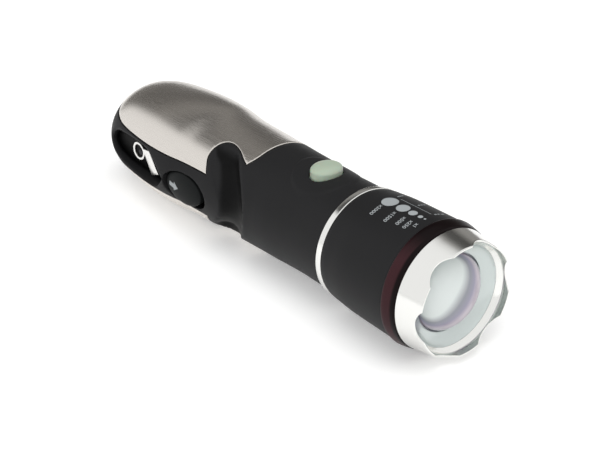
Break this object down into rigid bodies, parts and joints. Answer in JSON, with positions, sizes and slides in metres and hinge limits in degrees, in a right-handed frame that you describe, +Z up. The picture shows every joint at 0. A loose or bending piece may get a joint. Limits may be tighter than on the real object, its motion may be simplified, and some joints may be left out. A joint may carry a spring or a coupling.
{
  "type": "zoom torch with folding tools",
  "caption": "Pull-zoom LED torch with an oval steel-faced grip that holds folding tools behind a sliding lock button, a dark red warning ring and a scalloped chrome crown",
  "frame": {"origin": "under the middle of the torch's box, on the plane that its warning ring touches", "axes": "+X along the torch toward the lamp, -Y the side with the release button, +Z up through the power button"},
  "size_m": [0.1761, 0.0463, 0.0452],
  "materials": {
    "soft_black": "soft-touch charcoal black",
    "brushed_shell": "brushed along the handle",
    "black_plastic": "fine-grained black",
    "cell_sleeve": "plain shrink sleeve",
    "contact_brass": "plated",
    "spring_steel": "spring steel",
    "board_green": "circuit board with solder mask",
    "tool_steel": "satin stainless",
    "pale_green": "soft translucent pale green",
    "white_plastic": "white",
    "seal_rubber": "matt",
    "bright_chrome": "polished",
    "black_anodised": "black anodised",
    "plain_aluminium": "turned",
    "led_yellow": "phosphor under clear dome",
    "red_clear": "dark red translucent",
    "pearl_plastic": "bright satin",
    "lens_clear": "clear with a faint violet coating"
  },
  "bodies": {
    "handle": {"main_housing": "soft_black", "top_shell": "brushed_shell", "bottom_shell": "brushed_shell", "battery_carrier": "black_plastic", "battery_cell_1": "cell_sleeve", "battery_cell_2": "cell_sleeve", "battery_cell_3": "cell_sleeve", "rear_contact_plate": "contact_brass", "rear_contact_spring": "spring_steel", "switch_board": "board_green", "tact_switch": "black_plastic", "tool_pin": "tool_steel", "back_spring": "spring_steel", "lock_post": "tool_steel", "power_spring": "spring_steel", "release_spring": "spring_steel"},
    "power": {"power_button": "pale_green", "switch_plunger": "white_plastic"},
    "lock": {"release_button": "black_plastic", "lock_plate": "tool_steel", "lock_tongue": "tool_steel"},
    "knife_blade": {"knife": "tool_steel"},
    "saw_blade": {"wood_saw": "tool_steel"},
    "can_opener_blade": {"can_opener": "tool_steel"},
    "bottle_opener_blade": {"bottle_opener": "tool_steel"},
    "flat_driver_blade": {"flat_driver": "tool_steel"},
    "cross_driver_blade": {"cross_driver": "tool_steel"},
    "collar": {"trim_ring": "bright_chrome", "head_seal": "seal_rubber"},
    "lamp_unit": {"lamp_tube": "black_anodised", "contact_board": "board_green", "centre_contact_spring": "spring_steel", "driver_board": "board_green", "heat_sink": "plain_aluminium", "led_board": "white_plastic", "led_emitter": "led_yellow", "zoom_seal": "seal_rubber", "stop_ring": "spring_steel"},
    "head": {"front_sleeve": "soft_black", "warning_ring": "red_clear", "warning_leds": "red_clear", "bezel": "bright_chrome", "cone_ring": "pearl_plastic", "lens": "lens_clear", "lens_seal": "seal_rubber", "reflector": "pearl_plastic"}
  },
  "joints": [
    {"name": "power_press", "type": "slide", "parent": "handle", "child": "power", "axis": [0, 0, -1], "range_m": [0, 0.0007], "stiffness_N_per_m": 400, "springref_m": -0.001, "deforming": ["power_spring"]},
    {"name": "release_push", "type": "slide", "parent": "handle", "child": "lock", "axis": [1, 0, 0], "range_m": [0, 0.0024], "stiffness_N_per_m": 200, "springref_m": -0.002, "deforming": ["release_spring"]},
    {"name": "knife_fold", "type": "hinge", "parent": "handle", "child": "knife_blade", "pos_m": [-0.07405, 0, 0.0136], "axis": [0, 1, 0], "range_deg": [0, 180]},
    {"name": "saw_fold", "type": "hinge", "parent": "handle", "child": "saw_blade", "pos_m": [-0.07405, 0, 0.0136], "axis": [0, 1, 0], "range_deg": [0, 180]},
    {"name": "can_opener_fold", "type": "hinge", "parent": "handle", "child": "can_opener_blade", "pos_m": [-0.07405, 0, 0.0136], "axis": [0, 1, 0], "range_deg": [0, 180]},
    {"name": "bottle_opener_fold", "type": "hinge", "parent": "handle", "child": "bottle_opener_blade", "pos_m": [-0.07405, 0, 0.0136], "axis": [0, 1, 0], "range_deg": [0, 180]},
    {"name": "flat_driver_fold", "type": "hinge", "parent": "handle", "child": "flat_driver_blade", "pos_m": [-0.07405, 0, 0.0136], "axis": [0, 1, 0], "range_deg": [0, 180]},
    {"name": "cross_driver_fold", "type": "hinge", "parent": "handle", "child": "cross_driver_blade", "pos_m": [-0.07405, 0, 0.0136], "axis": [0, 1, 0], "range_deg": [0, 180]},
    {"name": "thread_run", "type": "slide", "parent": "handle", "child": "collar", "axis": [1, 0, 0], "range_m": [0, 0.0045]},
    {"name": "lamp_turn", "type": "hinge", "parent": "collar", "child": "lamp_unit", "pos_m": [0.038, 0, 0.0226], "axis": [1, 0, 0], "range_deg": [0, 1080]},
    {"name": "zoom", "type": "slide", "parent": "lamp_unit", "child": "head", "axis": [1, 0, 0], "range_m": [0, 0.012]}
  ],
  "couplings": [
    {"joint": "thread_run", "follows": "lamp_turn", "m_per_rad": 0.00023873}
  ]
}
